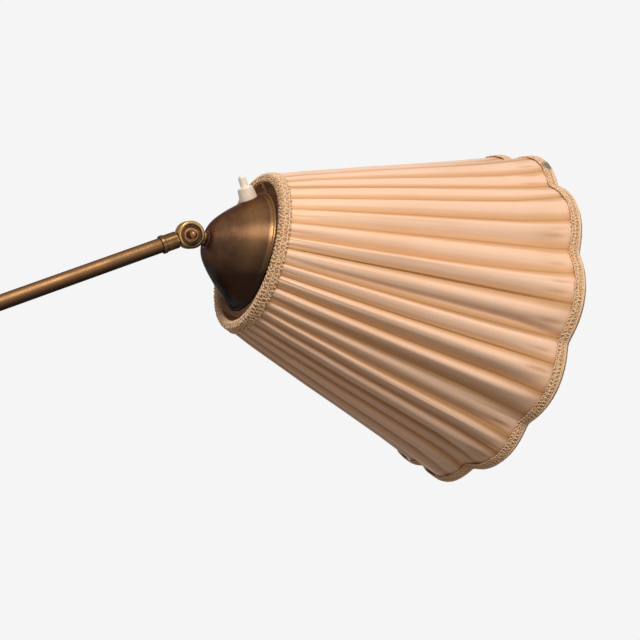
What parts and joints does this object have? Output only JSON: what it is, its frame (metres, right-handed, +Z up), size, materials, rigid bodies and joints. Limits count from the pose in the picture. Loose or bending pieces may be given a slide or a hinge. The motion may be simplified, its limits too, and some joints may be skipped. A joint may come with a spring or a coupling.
{
  "type": "bridge floor lamp",
  "caption": "Bridge floor lamp: round weighted base, upright brass stem, swivelling and tilting arm, tilting head with spun dome, push switch and pleated scalloped fabric shade.",
  "frame": {"origin": "centre of the base on its underside, where the felt meets the floor", "axes": "+Z up along the stem, +X along the level direction in which the arm reaches out at rest, +Y to the left of the arm"},
  "size_m": [0.8369, 0.3074, 1.3357],
  "materials": {
    "felt": "pressed wool felt, dark green",
    "cast_iron": "raw casting, painted dull black",
    "base_brass": "spun sheet, brushed round and aged",
    "zinc_steel": "zinc plated",
    "black_plastic": "moulded",
    "raw_brass": "turned, uncoated",
    "aged_brass": "turned and aged, bright on the edges",
    "tube_brass": "drawn tube, brushed along its length and aged",
    "fibre": "vulcanised fibre",
    "copper_washer": "reddish, dull",
    "dome_brass": "spun sheet, brushed round and aged",
    "bakelite": "moulded thermoset, dark",
    "ceramic": null,
    "bulb_metal": "pressed thin sheet",
    "bulb_glass": "frosted inside",
    "ivory_plastic": "moulded, ivory",
    "white_wire": "dipped white",
    "wrapped_wire": "wire wrapped with cotton tape",
    "satin": "satin weave, gathered, ivory to peach",
    "gimp_braid": "woven gimp braid, cream and gold"
  },
  "bodies": {
    "stand": {"base_felt": "felt", "base_weight": "cast_iron", "base_cover": "base_brass", "base_washer": "zinc_steel", "base_nut": "zinc_steel", "cord_bushing": "black_plastic", "foot_bush": "raw_brass", "stem_collar": "aged_brass", "stem_tube": "tube_brass", "swivel_spindle": "raw_brass", "swivel_washer": "fibre"},
    "swivel": {"stem_knuckle": "aged_brass", "swivel_screw": "raw_brass"},
    "arm": {"lower_arm_knuckle": "aged_brass", "arm_tube": "tube_brass", "upper_arm_knuckle": "aged_brass", "knuckle_washers": "fibre", "knuckle_screws": "aged_brass", "knuckle_nuts": "aged_brass"},
    "head": {"head_knuckle": "aged_brass", "neck_washer": "copper_washer", "dome": "dome_brass", "dome_nut": "zinc_steel", "holder_cap": "bakelite", "holder_sleeve": "bakelite", "holder_insert": "ceramic", "holder_contact": "raw_brass", "holder_rings": "bakelite", "bulb_cap": "bulb_metal", "bulb_glass": "bulb_glass", "switch_body": "ivory_plastic", "switch_collar": "ivory_plastic", "shade_carrier": "white_wire", "shade_top_ring": "white_wire", "shade_struts": "white_wire", "shade_bottom_ring": "wrapped_wire", "shade_cloth": "satin", "top_braid": "gimp_braid", "bottom_braid": "gimp_braid"},
    "button": {"switch_plunger": "ivory_plastic"}
  },
  "joints": [
    {"name": "arm_swivel", "type": "hinge", "parent": "stand", "child": "swivel", "pos_m": [0, 0, 1.07605], "axis": [0, 0, 1], "range_deg": [-170, 170]},
    {"name": "arm_tilt", "type": "hinge", "parent": "swivel", "child": "arm", "pos_m": [0, 0, 1.1119], "axis": [0, 1, 0], "range_deg": [-70, 30]},
    {"name": "head_tilt", "type": "hinge", "parent": "arm", "child": "head", "pos_m": [0.39658, 0, 1.25468], "axis": [0, 1, 0], "range_deg": [-130, 80]},
    {"name": "switch_press", "type": "slide", "parent": "head", "child": "button", "axis": [0.3387, 0, -0.9409], "range_m": [0, 0.003], "stiffness_N_per_m": 800}
  ]
}
